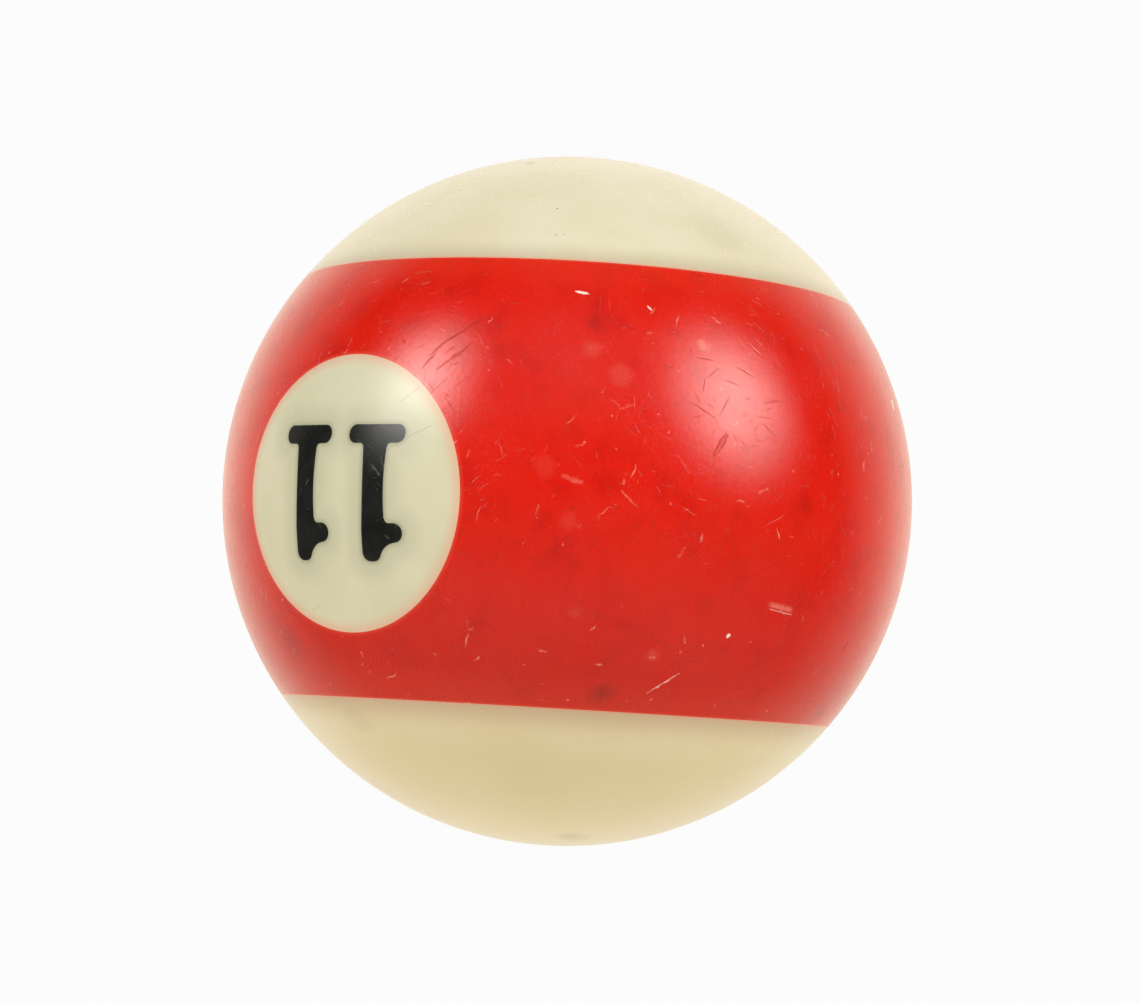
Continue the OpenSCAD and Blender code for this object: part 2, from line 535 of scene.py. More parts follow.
def capSheet(key):
    # one polar cap, from a flat pattern that looks straight down its pole
    sign = 1 if key == "high" else -1

    def toFlat(points):
        spread = 2 * ball["radius"] / (1 + sign * outward(points)[:, 2])
        flat = outward(points)[:, :2] * spread[:, None]
        return np.where((sign * points[:, 2] > 0)[:, None], flat, farAway)

    rim = rimAt(band[key], rimRadius(band[key]))
    outline = toFlat(rim)
    size = np.linalg.norm(outline[0])
    fine = fineInside(toFlat, -size, size)
    fine = fine[np.linalg.norm(fine, axis=1) < size]
    flat, faces = fillSheet([outline], ball["faceStep"], fine)
    spread = (flat ** 2).sum(1) / (4 * ball["radius"] ** 2)
    up = sign * (1 - spread) / (1 + spread)
    points = np.column_stack([flat / ball["radius"] / (1 + spread)[:, None], up]) * ball["radius"]
    return carve(points)[0], faces


def makeBody():
    sheets = [capSheet("low"), capSheet("high"), grooveSheet()]
    walls = grooveSides()
    flat, depth = ring(disc["radius"], disc["rimPoints"]), ball["radius"] - disc["depth"]
    floor, faces = fillSheet([flat], ball["innerStep"])
    for side in (frontSide, backSide):
        walls.append(wall(holeInGroove(side), discPoints(side, flat, depth)))
        sheets.append((discPoints(side, floor, depth), faces))
    return buildPiece("creamBody", "cream_body", sheets, walls,
                      {"bandGap": bandGap, "chalk": chalkOf})


def plugWall(side, outline, depth):
    # from an outline on the ball's surface, straight down along the disc's axis
    return wall(discPoints(side, outline, onDome(outline)), discPoints(side, outline, depth))


def makeDisc(side, name, node):
    rim, depth = ring(disc["radius"], disc["rimPoints"]), ball["radius"] - disc["depth"]
    outlines, pocket = [figureOutline(place) for place in (-1, 1)], ball["radius"] - figure["depth"]
    turn = discTurn(side)

    def toFlat(points):
        local = points @ turn
        return np.where((local[:, 2] > 0)[:, None], local[:, :2], farAway)

    fine = fineInside(toFlat, -disc["radius"], disc["radius"])
    flat, faces = fillSheet([rim, *outlines], ball["faceStep"] / 2, fine)
    sheets = [(carve(discPoints(side, flat, onDome(flat)))[0], faces)]
    seat, faces = fillSheet([rim], ball["innerStep"])
    sheets.append((discPoints(side, seat, depth), faces))
    for outline in outlines:
        floor, faces = fillSheet([outline], ball["faceStep"])
        sheets.append((discPoints(side, floor, pocket), faces))
    walls = [plugWall(side, rim, depth)] + [plugWall(side, outline, pocket) for outline in outlines]
    fields = {"discGap": discGap, "figureGap": figureGap(side), "chalk": chalkOf}
    return buildPiece(name, node, sheets, walls, fields)


def makeFigure(side, place, name, node):
    outline, floor = figureOutline(place), ball["radius"] - figure["depth"]
    flat, faces = fillSheet([outline], ball["faceStep"] / 2)
    sheets = [(discPoints(side, flat, onDome(flat)), faces), (discPoints(side, flat, floor), faces)]
    walls = [plugWall(side, outline, floor)]
    return buildPiece(name, node, sheets, walls, {"figureGap": figureGap(side)})


# materials

def linear(hexCode):
    # sRGB hex to the linear colour that a shader wants
    parts = [int(hexCode[i:i + 2], 16) / 255 for i in (1, 3, 5)]
    return [part / 12.92 if part <= 0.04045 else ((part + 0.055) / 1.055) ** 2.4 for part in parts] + [1]


def addNode(tree, kind, settings=None, links=None):
    # settings are the node's own values by name, or its inputs' by name or number; links are inputs' only,
    # from a socket, or from a node, which stands for its first output
    node = tree.nodes.new(kind)
    for key, value in (settings or {}).items():
        if isinstance(key, str) and hasattr(node, key):
            setattr(node, key, value)
        else:
            node.inputs[key].default_value = value
    for key, source in (links or {}).items():
        tree.links.new(getattr(source, "outputs", [source])[0], node.inputs[key])
    return node


def newResin(name):
    # a material with its shader, and the place on the ball in millimetres
    material = bpy.data.materials.new(name)
    material.use_nodes = True
    tree = material.node_tree
    shader = tree.nodes["Principled BSDF"]
    where = addNode(tree, "ShaderNodeTexCoord").outputs["Object"]
    place = addNode(tree, "ShaderNodeVectorMath", {"operation": "SCALE", "Scale": 1 / mm}, {0: where})
    return material, tree, shader, place


def cloud(tree, place, size, low, high, detail=3):
    # soft noise whose lumps are about size mm across, as 0 to 1 between two levels
    lumps = addNode(tree, "ShaderNodeTexNoise", {"Scale": 1 / size, "Detail": detail}, {"Vector": place})
    return addNode(tree, "ShaderNodeMapRange", {"From Min": low, "From Max": high},
                   {"Value": lumps.outputs["Fac"]})


def scratchMarks(tree, place, marks):
    # short fine marks: in each cell a plane at a random turn cuts the surface, and the cut tapers to its ends
    shifted = addNode(tree, "ShaderNodeVectorMath", {"operation": "ADD", 1: [marks["shift"]] * 3}, {0: place})
    bend = addNode(tree, "ShaderNodeTexNoise", {"Scale": 1 / marks["curl"], "Detail": 2},
                   {"Vector": shifted})
    bent = addNode(tree, "ShaderNodeVectorMath", {"operation": "MULTIPLY_ADD", 1: (marks["bend"],) * 3},
                   {0: bend.outputs["Color"], 2: shifted})
    cells = addNode(tree, "ShaderNodeTexVoronoi", {"Scale": 1 / marks["cell"]}, {"Vector": bent})
    away = addNode(tree, "ShaderNodeVectorMath", {"operation": "SUBTRACT"},
                   {0: bent, 1: cells.outputs["Position"]})
    lean = addNode(tree, "ShaderNodeVectorMath", {"operation": "SUBTRACT", 1: (0.5, 0.5, 0.5)},
                   {0: cells.outputs["Color"]})
    upright = addNode(tree, "ShaderNodeVectorMath", {"operation": "CROSS_PRODUCT"}, {0: lean, 1: place})
    plane = addNode(tree, "ShaderNodeVectorMath", {"operation": "NORMALIZE"}, {0: upright})
    gap = addNode(tree, "ShaderNodeVectorMath", {"operation": "DOT_PRODUCT"}, {0: away, 1: plane})
    gap = addNode(tree, "ShaderNodeMath", {"operation": "ABSOLUTE"}, {0: gap.outputs["Value"]})
    reach = addNode(tree, "ShaderNodeVectorMath", {"operation": "LENGTH"}, {0: away}).outputs["Value"]
    half = addNode(tree, "ShaderNodeMapRange",
                   {"From Min": 0, "From Max": marks["long"] / 2, "To Min": marks["wide"] / 2, "To Max": 0},
                   {"Value": reach})
    deep = addNode(tree, "ShaderNodeMath", {"operation": "SUBTRACT"}, {0: half, 1: gap})
    line = addNode(tree, "ShaderNodeMapRange", {"From Min": 0, "From Max": marks["wide"] / 5},
                   {"Value": deep})
    # marks come in patches, and each has its own strength
    crowd = cloud(tree, shifted, marks["patch"], 0.36, 0.6)
    limit = addNode(tree, "ShaderNodeMath", {"operation": "MULTIPLY", 1: marks["chance"]}, {0: crowd})
    dice = addNode(tree, "ShaderNodeTexWhiteNoise", {"noise_dimensions": "3D"},
                   {"Vector": cells.outputs["Position"]})
    left = addNode(tree, "ShaderNodeMath", {"operation": "SUBTRACT"}, {0: limit, 1: dice.outputs["Value"]})
    strength = addNode(tree, "ShaderNodeMapRange",
                       {"From Min": 0, "From Max": marks["chance"] / 2, "To Min": 0, "To Max": 1},
                       {"Value": left})
    return addNode(tree, "ShaderNodeMath", {"operation": "MULTIPLY"}, {0: line, 1: strength})


def field(tree, name, start, end):
    # a distance stored on the mesh, as 1 at start falling to 0 at end
    stored = addNode(tree, "ShaderNodeAttribute", {"attribute_name": name}).outputs["Fac"]
    return addNode(tree, "ShaderNodeMapRange",
                   {"interpolation_type": "SMOOTHSTEP", "From Min": start, "From Max": end,
                    "To Min": 1, "To Max": 0}, {"Value": stored})


def tinted(tree, base, colour, mask, strength=1.0):
    # base colour pulled towards another where the mask is 1
    share = addNode(tree, "ShaderNodeMath", {"operation": "MULTIPLY", 1: strength}, {0: mask})
    return addNode(tree, "ShaderNodeMix", {"data_type": "RGBA", 7: linear(colour)},
                   {0: share, 6: base}).outputs[2]


# each layer: cell = mm between marks, long and wide = size in mm, bend and curl = how far and how tightly
# they curve, patch = mm across a crowded patch, chance = share of cells that hold a mark, shift = mm that
# sets the layer apart from the others
markKeys = ("cell", "long", "wide", "bend", "curl", "patch", "chance", "shift")
# hairlines are finer than a render can show, so they are drawn about four times as wide as real ones
hairLayers = [dict(zip(markKeys, row)) for row in [
    (1.6, 2.6, 0.12, 0.5, 1.8, 6, 0.6, 3),
    (0.9, 1.4, 0.11, 0.3, 0.9, 4, 0.4, 41),
    (0.5, 0.7, 0.09, 0.1, 0.5, 3, 0.4, 29),
]]
# pale marks: long curved ticks, short hooks, and pinhead flecks
paleLayers = [dict(zip(markKeys, row)) for row in [
    (2.6, 1.6, 0.17, 0.9, 1.2, 9, 0.35, 17),
    (1.3, 0.9, 0.18, 0.5, 0.35, 6, 0.3, 87),
    (0.9, 0.35, 0.28, 0.1, 0.8, 5, 0.28, 71),
]]


def strongest(tree, *masks):
    top = masks[0]
    for mask in masks[1:]:
        top = addNode(tree, "ShaderNodeMath", {"operation": "MAXIMUM"}, {0: top, 1: mask})
    return top


def edged(tree, colour, look, masks=None):
    # tints beside the joints, each from one distance stored on the mesh to another, and some within a mask
    for key, name, start, end, strength, *within in look["edges"]:
        share = field(tree, name, start, end)
        for mask in within:
            share = addNode(tree, "ShaderNodeMath", {"operation": "MULTIPLY"}, {0: share, 1: masks[mask]})
        colour = tinted(tree, colour, look[key], share, strength)
    return colour


def darkerBelow(tree, place, colour, look):
    # darker towards the underside: how much so at each height, and the colour with it; on the red band this
    # is painted shade
    height = addNode(tree, "ShaderNodeSeparateXYZ", None, {0: place}).outputs[2]
    below = addNode(tree, "ShaderNodeMapRange", {"From Min": look["undertoneFrom"], "From Max": look["undertoneTo"]},
                    {"Value": height})
    return below, tinted(tree, colour, look["undertone"], below, look["undertoneShare"])


def mottled(tree, place, look):
    # the resin's own colour, drifting to a second one in soft patches
    return addNode(tree, "ShaderNodeMix",
                   {"data_type": "RGBA", 6: linear(look["colour"]), 7: linear(look["patch"])},
                   {0: cloud(tree, place, *look["patches"])}).outputs[2]


def finishSurface(tree, shader, place, look, lines):
    # polish that has gone hazy: fine hairlines over a skin whose gloss drifts, and matt where it is broken
    broken = addNode(tree, "ShaderNodeAttribute", {"attribute_name": "chalk"}).outputs["Fac"]
    broken = addNode(tree, "ShaderNodeMath", {"operation": "ABSOLUTE"}, {0: broken})
    broken = addNode(tree, "ShaderNodeMapRange", {"From Max": 0.3}, {"Value": broken})
    matt = strongest(tree, lines, broken)
    drift = cloud(tree, place, *look["drift"])
    speckle = cloud(tree, place, *look["speckle"])
    uneven = addNode(tree, "ShaderNodeMath", {"operation": "ADD"}, {0: drift, 1: speckle})
    gloss = addNode(tree, "ShaderNodeMapRange",
                    {"From Max": 2, "To Min": look["roughness"] - look["roughnessDrift"],
                     "To Max": look["roughness"] + look["roughnessDrift"]}, {"Value": uneven})
    gloss = addNode(tree, "ShaderNodeMath", {"operation": "MULTIPLY_ADD", 1: look["lineRoughness"]},
                    {0: matt, 2: gloss})
    tree.links.new(gloss.outputs[0], shader.inputs["Roughness"])
    grain = addNode(tree, "ShaderNodeTexNoise", {"Scale": 1 / look["grain"], "Detail": 3}, {"Vector": place})
    skin = addNode(tree, "ShaderNodeMath", {"operation": "MULTIPLY_ADD", 1: -look["lineDepth"]},
                   {0: lines, 2: grain.outputs["Fac"]})
    bump = addNode(tree, "ShaderNodeBump", {"Strength": 1, "Distance": look["bumpDepth"] * mm},
                   {"Height": skin})
    tree.links.new(bump.outputs[0], shader.inputs["Normal"])
    tree.links.new(bump.outputs[0], shader.inputs["Coat Normal"])
    shader.inputs["IOR"].default_value = look["ior"]
    shader.inputs["Coat Weight"].default_value = look["coat"]
    shader.inputs["Coat Roughness"].default_value = look["coatRoughness"]


def wornMarks(tree, place, colour, look, lines):
    # grime in the hairlines, whitened ticks where the ball has been knocked, chalk or dirt inside each nick
    marks = strongest(tree, *[scratchMarks(tree, place, layer) for layer in paleLayers])
    colour = tinted(tree, colour, look["grime"], lines, look["grimeStrength"])
    colour = tinted(tree, colour, look["tick"], marks, look["tickStrength"])
    colour = tinted(tree, colour, look["broken"], field(tree, "chalk", 1, 0))
    return tinted(tree, colour, look["dirt"], field(tree, "chalk", -1, 0))


def wearAndPolish(tree, shader, place, look, colour):
    # what every resin on the ball ends with: its wear over its colour, then its skin
    lines = strongest(tree, *[scratchMarks(tree, place, layer) for layer in hairLayers])
    colour = wornMarks(tree, place, colour, look, lines)
    tree.links.new(colour, shader.inputs["Base Color"])
    finishSurface(tree, shader, place, look, lines)


# cast phenolic resin, polished and long played with: deep, even colour under a skin gone slightly hazy
redLook = {
    "colour": "#E41500",
    "patch": "#CB0D01",
    "patches": (2.6, 0.5, 0.8),      # mm across, and the noise levels between which they fade in
    "light": "#E72103",
    "clouds": [("light", (7, 0.4, 0.65), 0.5), ("patch", (0.35, 0.4, 0.75, 2), 0.25)],
    "grime": "#A80C04",
    "grimeStrength": 0.5,
    "undertone": "#B2200F",
    "undertoneFrom": -2,                  # mm over the ball's middle where the painted shade of the underside starts, and is full
    "undertoneTo": -17,
    "undertoneShare": 0.45,
    "rim": "#F0523A",
    "edges": [("rim", "discGap", 0.0, 0.4, 0.5), ("rim", "bandGap", 0.0, -0.3, 0.4),
              ("rim", "bandGap", 0.2, -4.0, 0.2)],
    "bruiseEdge": (0.8, 0.5),        # size and reach in mm of what makes an outline uneven
    "bruiseSoft": 0.7,
    "smudgeEdge": (0.9, 0.7),
    "strokeEdge": (0.7, 0.3),
    "skips": (0.3, 0.3, 0.55, 2),
    "strokeShare": 0.8,
    "bruise": "#FF9C8C",
    "dirt": "#7A1A12",
    "tick": "#FFAE9C",
    "broken": "#FFEFE8",
    "tickStrength": 0.54,
    "roughness": 0.24,
    "roughnessDrift": 0.05,
    "drift": (4, 0.35, 0.65),
    "speckle": (0.22, 0.35, 0.65, 1),
    "lineRoughness": 0.12,
    "lineDepth": 0.8,
    "grain": 0.4,
    "bumpDepth": 0.01,
    "ior": 1.53,
    "coat": 0.45,
    "coatRoughness": 0.15,
}

# pale round bruises and dark smudges on the band: longitude, latitude, radius in mm, strength
paleBruises = [
    (41, 20, 0.7, 0.09), (46, 16, 0.9, 0.09), (39, -7, 0.6, 0.06), (35, 1, 0.8, 0.05),
    (41, -21, 0.35, 0.07), (60, 22, 0.45, 0.35), (55, -27, 0.4, 0.12), (152, 9, 0.9, 0.2),
    (236, -14, 0.7, 0.2), (296, 17, 0.8, 0.16),
]
darkSmudges = [
    (47, -34.3, 1.5, 0.55), (-18, -28, 2.4, 0.3), (103, -35, 1.6, 0.45), (41, 25, 1.0, 0.3),
    (201, -30, 1.8, 0.45), (262, 31, 1.4, 0.35), (79, -2, 1.2, 0.2), (-30, 5, 1.5, 0.2),
]
# single scratches on the band: longitude, latitude, length and width in mm, turn in degrees, strength
bandStrokes = [
    (39, -0.5, 1.5, 0.4, -18, 0.3), (40, -1, 0.7, 0.35, -8, 0.4), (48, -3, 1.5, 0.1, -40, 0.6),
    (48, -1, 0.4, 0.12, 80, 0.8), (47, -0.5, 0.35, 0.12, 75, 0.6), (40, 4.5, 0.6, 0.14, 10, 0.5),
    (34, -6, 0.9, 0.14, 70, 0.35), (57, -10.5, 0.9, 0.2, 65, 0.35), (60, -8, 0.5, 0.14, 85, 0.8),
    (66, -2, 0.45, 0.14, 0, 0.8), (60, -24, 0.8, 0.12, -60, 0.6), (36, -27.5, 0.5, 0.13, -5, 0.7),
    (23, 2.5, 0.7, 0.12, 75, 0.4), (51, 23.5, 0.6, 0.14, 15, 0.6), (89, 28, 1.1, 0.15, -35, 0.6),
    (94, 15, 1.2, 0.18, 70, 0.5), (95, 14, 0.8, 0.14, 20, 0.5), (96, 9.5, 0.6, 0.14, 80, 0.6),
    (93, 9.5, 0.6, 0.14, 60, 0.6), (93, 6, 0.7, 0.16, 85, 0.9), (70, 0, 0.9, 0.13, 28, 0.6),
    (76, -6.5, 0.6, 0.12, 0, 0.5), (47, 11, 1.2, 0.16, 20, 0.4), (45, 11.5, 0.7, 0.14, -40, 0.4),
    (51.5, 27.5, 0.6, 0.16, 40, 0.8), (91, 34, 1.6, 0.16, 75, 0.4), (55, -27.5, 0.4, 0.2, 0, 0.8),
    (23, -23.6, 0.5, 0.1, 85, 0.4), (23.6, -24.6, 0.4, 0.1, 5, 0.4), (56, 3, 1.8, 0.09, -50, 0.35),
]
# a brush of fine drag lines above the long gouge
dragMark = {"lon": 77, "lat": -17.6, "long": 2.8, "wide": 0.5, "turn": -7, "strand": 0.1, "crisp": 0.06,
            "strength": 0.45}
strokeSoft = 0.05        # mm over which a scratch's edge fades


def ragged(tree, place, size, reach):
    # the same place, pushed about by up to reach mm, so that what is drawn there gets an uneven edge
    lumps = addNode(tree, "ShaderNodeTexNoise", {"Scale": 1 / size, "Detail": 3}, {"Vector": place})
    push = addNode(tree, "ShaderNodeVectorMath", {"operation": "SUBTRACT", 1: (0.5, 0.5, 0.5)},
                   {0: lumps.outputs["Color"]})
    return addNode(tree, "ShaderNodeVectorMath", {"operation": "MULTIPLY_ADD", 1: (2 * reach,) * 3},
                   {0: push, 2: place})


def spot(tree, place, lon, lat, size, soft):
    # 1 within size mm of a place on the ball, fading out over soft mm
    middle = list(direction(lon, lat) * ball["radius"])
    away = addNode(tree, "ShaderNodeVectorMath", {"operation": "DISTANCE", 1: middle}, {0: place})
    return addNode(tree, "ShaderNodeMapRange",
                   {"interpolation_type": "SMOOTHSTEP", "From Min": size - soft / 2,
                    "From Max": size + soft / 2, "To Min": 1, "To Max": 0},
                   {"Value": away.outputs["Value"]})


def stroke(tree, place, lon, lat, long, wide, turn, strength):
    # one scratch: its strength on a short line on the ball, fading out just past half the scratch's width
    middle, along, _ = nickAxes({"lon": lon, "lat": lat, "turn": turn})
    start = list(middle - along * long / 2)
    away = addNode(tree, "ShaderNodeVectorMath", {"operation": "SUBTRACT", 1: start}, {0: place})
    run = addNode(tree, "ShaderNodeVectorMath", {"operation": "DOT_PRODUCT", 1: list(along)}, {0: away})
    run = addNode(tree, "ShaderNodeMapRange", {"From Max": long, "To Max": long},
                  {"Value": run.outputs["Value"]})
    nearest = addNode(tree, "ShaderNodeVectorMath", {"operation": "SCALE", 0: list(along)}, {"Scale": run})
    gap = addNode(tree, "ShaderNodeVectorMath", {"operation": "DISTANCE"}, {0: away, 1: nearest})
    return addNode(tree, "ShaderNodeMapRange",
                   {"From Min": 0, "From Max": wide / 2 + strokeSoft, "To Min": strength, "To Max": 0},
                   {"Value": gap.outputs["Value"]})


def strokesOf(tree, place, marks):
    return strongest(tree, *[stroke(tree, place, *mark) for mark in marks])


def dragLines(tree, place, mark):
    # 1 along a crisp lower edge, breaking up into strands as it fades upward
    middle, along, across = nickAxes(mark)
    wide, long = mark["wide"], mark["long"]
    start = addNode(tree, "ShaderNodeVectorMath", {"operation": "SUBTRACT", 1: list(middle)}, {0: place})
    u, v = [addNode(tree, "ShaderNodeVectorMath", {"operation": "DOT_PRODUCT", 1: list(axis)},
                    {0: start}).outputs["Value"] for axis in (along, across)]
    strands = addNode(tree, "ShaderNodeTexNoise",
                      {"noise_dimensions": "1D", "Scale": 1 / mark["strand"], "Detail": 1}, {"W": u})
    top = addNode(tree, "ShaderNodeMath", {"operation": "MULTIPLY", 1: wide}, {0: strands.outputs["Fac"]})
    rise = addNode(tree, "ShaderNodeMath", {"operation": "SUBTRACT"}, {0: top, 1: v})
    fade = addNode(tree, "ShaderNodeMapRange", {"From Min": 0, "From Max": wide / 2}, {"Value": rise})
    crisp = addNode(tree, "ShaderNodeMapRange",
                    {"From Min": -wide / 2, "From Max": -wide / 2 + mark["crisp"]}, {"Value": v})
    ends = addNode(tree, "ShaderNodeMath", {"operation": "ABSOLUTE"}, {0: u})
    ends = addNode(tree, "ShaderNodeMapRange", {"From Min": long / 2, "From Max": long / 3}, {"Value": ends})
    both = addNode(tree, "ShaderNodeMath", {"operation": "MULTIPLY"}, {0: fade, 1: crisp})
    return addNode(tree, "ShaderNodeMath", {"operation": "MULTIPLY"}, {0: both, 1: ends})


def redResin():
    # red phenolic: saturated, a little darker in patches, paler right beside a joint, with painted shade
    # towards the underside
    material, tree, shader, place = newResin("red cast phenolic")
    colour = mottled(tree, place, redLook)
    for key, lumps, strength in redLook["clouds"]:
        colour = tinted(tree, colour, redLook[key], cloud(tree, place, *lumps), strength)
    # painted shade: the band darkens towards its underside
    _, colour = darkerBelow(tree, place, colour, redLook)
    wobbly, soft = ragged(tree, place, *redLook["bruiseEdge"]), redLook["bruiseSoft"]
    for lon, lat, size, strength in paleBruises:
        colour = tinted(tree, colour, redLook["bruise"], spot(tree, wobbly, lon, lat, size, soft), strength)
    rough = ragged(tree, place, *redLook["smudgeEdge"])
    for lon, lat, size, strength in darkSmudges:
        colour = tinted(tree, colour, redLook["dirt"], spot(tree, rough, lon, lat, size / 2, size), strength)
    colour = edged(tree, colour, redLook)
    colour = tinted(tree, colour, redLook["bruise"], dragLines(tree, place, dragMark), dragMark["strength"])
    # each scratch skips here and there
    patchy = cloud(tree, place, *redLook["skips"])
    strokes = strokesOf(tree, ragged(tree, place, *redLook["strokeEdge"]), bandStrokes)
    strokes = addNode(tree, "ShaderNodeMath", {"operation": "MULTIPLY"}, {0: strokes, 1: patchy})
    colour = tinted(tree, colour, redLook["tick"], strokes, redLook["strokeShare"])
    wearAndPolish(tree, shader, place, redLook, colour)
    return material


# cream phenolic: milky and slightly see-through, so the red behind it shows as a blush at the joint
creamLook = {
    "colour": "#EEE9CF",
    "patch": "#EAE4C4",
    "patches": (6, 0.4, 0.65),
    "grime": "#C9C0A0",
    "grimeStrength": 0.15,
    "undertone": "#E6D6A2",
    "undertoneFrom": -12,                 # mm over the ball's middle where the darker, yellower underside starts, and is full
    "undertoneTo": -22,
    "undertoneShare": 0.6,
    "shade": "#B9AE90",
    "blush": "#EE9C86",
    "lowShade": "#D09A7C",
    "edges": [("shade", "bandGap", -0.4, 2.4, 0.55), ("blush", "bandGap", 0.0, 0.9, 0.35, "bleed"),
              ("lowShade", "bandGap", 0.0, 3.5, 0.45, "below"), ("blush", "bandGap", 0.0, 0.25, 0.5)],
    "bleed": (0.3, 0.3, 0.7, 2),
    "stain": "#7C735A",
    "stainEdge": (0.4, 0.12),
    "dirt": "#6E6650",
    "tick": "#FBF6E4",
    "broken": "#FFFBF0",
    "tickStrength": 0.25,
    "roughness": 0.24,
    "roughnessDrift": 0.03,
    "drift": (4, 0.35, 0.65),
    "speckle": (0.22, 0.35, 0.65, 1),
    "lineRoughness": 0.1,
    "lineDepth": 0.6,
    "grain": 0.4,
    "bumpDepth": 0.003,
    "ior": 1.53,
    "coat": 0.45,
    "coatRoughness": 0.15,
}

# grey stains and specks on the caps: longitude, latitude, radius in mm, strength
capStains = [
    (32, 49, 0.09, 0.8), (33, 42, 0.1, 0.35), (34.5, 42.2, 0.1, 0.3), (11.5, 69, 0.5, 0.3),
    (14, 68, 0.4, 0.25), (72, 47, 2.2, 0.06), (56, -75, 1.2, 0.16), (50, -74, 0.8, 0.14),
    (-8, -42, 1.4, 0.12), (150, 62, 1.5, 0.1), (230, 48, 0.12, 0.7), (190, -52, 1.4, 0.12),
    (285, 60, 0.1, 0.6), (330, -60, 1.1, 0.12),
]


def creamResin():
    material, tree, shader, place = newResin("aged cream cast phenolic")
    colour = mottled(tree, place, creamLook)
    # the lower cap is darker and yellower than the upper one
    below, colour = darkerBelow(tree, place, colour, creamLook)
    wobbly = ragged(tree, place, *creamLook["stainEdge"])
    for lon, lat, size, strength in capStains:
        colour = tinted(tree, colour, creamLook["stain"], spot(tree, wobbly, lon, lat, size, size), strength)
    # the joint has a greyish shadow under the skin, and the red bleeds a hair's breadth into the cream
    bleed = cloud(tree, place, *creamLook["bleed"])
    colour = edged(tree, colour, creamLook, {"bleed": bleed, "below": below})
    wearAndPolish(tree, shader, place, creamLook, colour)
    return material


discLook = dict(creamLook, colour="#E0DEC3", patch="#DBDABD", patches=(5, 0.4, 0.65), halo="#CCCDB3",
                shade="#7A7862", ior=1.46, coat=0.2, tickStrength=0.12, strokeEdge=(1.2, 0.2),
                edges=[("blush", "discGap", 0.05, -1.1, 0.45), ("halo", "figureGap", 0.2, 2.4, 0.9),
                       ("shade", "figureGap", -0.1, 0.5, 0.4)])

# grey scratches on the front disc: longitude, latitude, length and width in mm, turn in degrees, strength
discStrokes = [(14, 5.2, 4.9, 0.1, 27, 0.3), (-7, -22, 0.9, 0.12, 20, 0.5), (13, 12, 2.6, 0.08, 40, 0.3)]


def discResin():
    # the same cream resin, greyed for half a millimetre round the black figures
    material, tree, shader, place = newResin("number disc phenolic")
    colour = mottled(tree, place, discLook)
    colour = edged(tree, colour, discLook)
    strokes = strokesOf(tree, ragged(tree, place, *discLook["strokeEdge"]), discStrokes)
    colour = tinted(tree, colour, discLook["stain"], strokes)
    wearAndPolish(tree, shader, place, discLook, colour)
    return material


blackLook = dict(creamLook, colour="#171919", patch="#202222", patches=(2, 0.4, 0.65), rim="#3A3C38",
                 tick="#8A8C88", tickStrength=0.2, dirt="#101010", grime="#2C2E2C", grimeStrength=0.4,
                 lineDepth=1.0, strokeEdge=(1.2, 0.3), edges=[("rim", "figureGap", 0.0, 0.16, 0.6)])

# pale scratches on the front figures, in the same order of values
figureStrokes = [
    (-6.8, -2.6, 1.2, 0.08, 40, 0.5), (7.5, -0.3, 1.4, 0.08, -48, 0.5),
    (8.4, 1.4, 1.6, 0.07, -62, 0.4), (9, 7, 1.3, 0.08, 30, 0.3),
]


def blackResin():
    # black phenolic inlay, not quite black: the hazy skin greys it
    material, tree, shader, place = newResin("black inlay phenolic")
    colour = mottled(tree, place, blackLook)
    colour = edged(tree, colour, blackLook)
    strokes = strokesOf(tree, ragged(tree, place, *blackLook["strokeEdge"]), figureStrokes)
    colour = tinted(tree, colour, blackLook["tick"], strokes)
    wearAndPolish(tree, shader, place, blackLook, colour)
    return material


# studio

studio = {
    "cameraAzimuth": 38.6,
    "cameraElevation": -4.0,
    "cameraRoll": 3.4,
    "cameraDistance": 284.3,
    "lens": 107.8,
    "aimRight": 0.23,     # mm that the camera aims beside the ball's middle
    "aimUp": -0.02,
    "paper": 0.973,       # how bright the camera sees the white paper
    "behind": 1.05,       # how bright the ball sees the paper behind it, and the room in front of it
    "inFront": 0.02,
    "table": 0.22,        # how bright the ball sees the table in front of it
    "lamp": "#FFFCF6",
    "lampFade": 1.4,      # above 1 gathers a soft box's light at its middle
    "room": "#FFF4E0",
    "roomSpan": (0.18, 0.82),        # from the room in front of the ball to the paper behind it
    "lowSpan": (-0.5, 0.1),          # the heights between which the room brightens
    "lowShare": 0.7,
    "tableSpan": (-0.2, -0.65),
    "floorSize": 1.5,     # half the floor's side in metres
    "floorGap": 0.02,
    "floor": "#FFF4E2",
    "floorGlow": 0.95,
}

# soft boxes: where each hangs round the ball in degrees, its distance, width and height in mm, how bright
# its middle is, and whether it shines in the resin or only lightens it
softBoxes = [
    {"name": "rightSoftBox", "azimuth": 96, "elevation": 28.5, "away": 600, "wide": 640, "high": 700,
     "radiance": 7.0, "shines": True},
    {"name": "leftSoftBox", "azimuth": -16.5, "elevation": 28, "away": 600, "wide": 500, "high": 600,
     "radiance": 8.2, "shines": True},
    {"name": "frontFill", "azimuth": 38, "elevation": 42, "away": 700, "wide": 1300, "high": 1300,
     "radiance": 2.05, "shines": False},
]


def cameraSees(tree, paper, others, output):
    # the camera sees one shader, and the ball and its reflections see the other
    rays = addNode(tree, "ShaderNodeLightPath").outputs["Is Camera Ray"]
    both = addNode(tree, "ShaderNodeMixShader", None, {0: rays, 1: others, 2: paper})
    addNode(tree, output, None, {"Surface": both})


